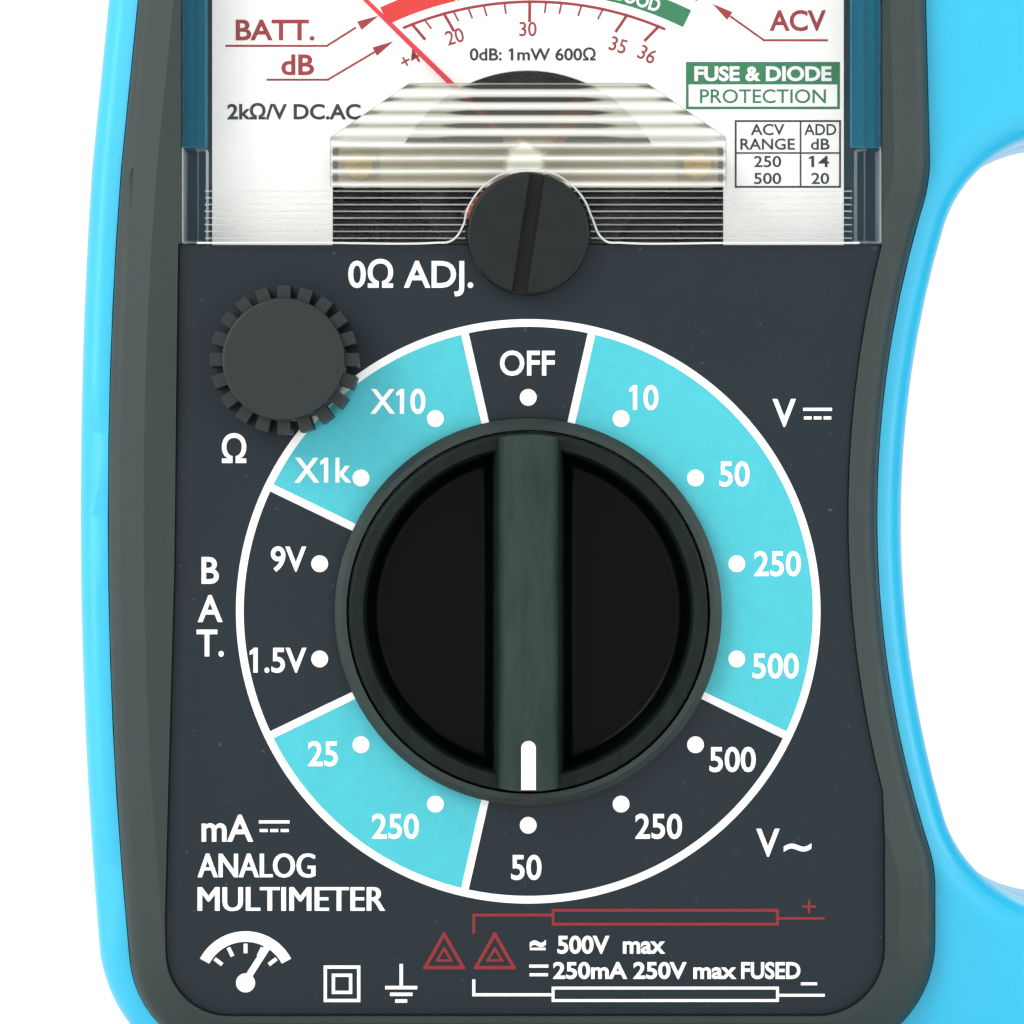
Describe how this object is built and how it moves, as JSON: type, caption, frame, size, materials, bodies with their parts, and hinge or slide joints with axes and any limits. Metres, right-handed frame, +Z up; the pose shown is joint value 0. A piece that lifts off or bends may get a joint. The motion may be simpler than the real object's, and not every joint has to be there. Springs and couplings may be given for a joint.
{
  "type": "analog multimeter",
  "caption": "Hand-held analog multimeter with a closed side handle: ribbed clear dial window with a red needle, rotary range selector, ohm adjuster and two bottom test sockets.",
  "frame": {"origin": "bottom face of the blue case, under the middle of the dial panel, 18 mm in front of the rear face", "axes": "+Z up along the case, the dial faces -Y, the side handle is towards +X"},
  "size_m": [0.1361, 0.04, 0.142],
  "materials": {
    "blue_plastic": "satin",
    "black_plastic": "fine matte",
    "panel_print": "printed film",
    "clear_plastic": "clear",
    "knob_plastic": "satin",
    "white_plastic": "satin",
    "nylon": "natural",
    "red_needle": "satin",
    "scale_white": "matte",
    "zinc_screw": "satin",
    "spring_steel": "satin",
    "dark_steel": "oxide",
    "magnet": "ground",
    "brass": "turned",
    "copper": "lacquered wire",
    "nickel": "plated",
    "aluminium": "satin",
    "board_laminate": "resin laminate",
    "component_tan": "lacquer",
    "component_black": "moulded",
    "capacitor_green": "sleeved",
    "fuse_glass": "clear",
    "battery_wrap": "film",
    "wire_insulation": "vinyl"
  },
  "bodies": {
    "case": {"rear_shell": "blue_plastic", "front_shell": "blue_plastic", "front_case": "black_plastic", "printed_panel": "panel_print", "meter_window": "clear_plastic", "scale_plate": "scale_white", "scale_screws": "zinc_screw", "movement_frame": "black_plastic", "movement_screws": "zinc_screw", "magnet_yoke": "dark_steel", "core_magnet": "magnet", "core_holder": "dark_steel", "bearing_bridge": "clear_plastic", "bridge_screws": "brass", "front_jewel_screw": "brass", "rear_jewel_screw": "brass", "potentiometer_body": "dark_steel", "potentiometer_pins": "nickel", "circuit_board": "board_laminate", "contact_pads": "copper", "board_screws": "zinc_screw", "resistors": "component_tan", "resistor_leads": "nickel", "diodes": "component_black", "diode_leads": "nickel", "capacitor": "capacitor_green", "fuse_glass": "fuse_glass", "fuse_caps": "nickel", "fuse_wire": "nickel", "fuse_clips": "brass", "battery": "battery_wrap", "battery_contacts": "nickel", "battery_spring": "nickel", "socket_sleeves": "brass", "socket_insulators": "black_plastic", "movement_leads": "wire_insulation", "battery_leads": "wire_insulation", "socket_leads": "wire_insulation", "case_screws": "zinc_screw"},
    "selector": {"selector_knob": "knob_plastic", "knob_pointer_line": "white_plastic", "selector_clip": "spring_steel", "switch_rotor": "nylon", "wiper_contacts": "brass", "detent_balls": "spring_steel", "detent_springs": "spring_steel"},
    "ohm_adjuster": {"ohm_adjust_knob": "black_plastic", "potentiometer_shaft": "aluminium"},
    "zero_screw": {"zero_adjust_screw": "knob_plastic"},
    "zero_arm": {"zero_adjust_arm": "aluminium"},
    "pointer": {"needle": "red_needle", "moving_coil": "copper", "coil_pivots": "spring_steel", "balance_weights": "nickel", "front_hairspring": "brass", "rear_hairspring": "brass"},
    "battery_door": {"battery_cover": "blue_plastic", "cover_screw": "zinc_screw"}
  },
  "joints": [
    {"name": "selector_turn", "type": "hinge", "parent": "case", "child": "selector", "pos_m": [0, -0.0115, 0.0503], "axis": [0, 1, 0], "continuous": true},
    {"name": "ohm_adjust_turn", "type": "hinge", "parent": "case", "child": "ohm_adjuster", "pos_m": [-0.0252, -0.016, 0.0764], "axis": [0, 1, 0], "range_deg": [-135, 135]},
    {"name": "zero_adjust_turn", "type": "hinge", "parent": "case", "child": "zero_screw", "pos_m": [0, -0.014, 0.0897], "axis": [0, 1, 0], "range_deg": [-35, 35]},
    {"name": "zero_arm_tilt", "type": "hinge", "parent": "case", "child": "zero_arm", "pos_m": [0, -0.0092, 0.0982], "axis": [0, 1, 0], "range_deg": [-8, 8]},
    {"name": "needle_swing", "type": "hinge", "parent": "case", "child": "pointer", "pos_m": [0, -0.0009, 0.0982], "axis": [0, 1, 0], "range_deg": [0, 92], "stiffness_Nm_per_rad": 0.0001},
    {"name": "battery_cover_off", "type": "slide", "parent": "case", "child": "battery_door", "axis": [0, 1, 0], "range_m": [0, 0.03]}
  ],
  "couplings": [
    {"joint": "zero_arm_tilt", "follows": "zero_adjust_turn", "ratio": -0.158}
  ]
}
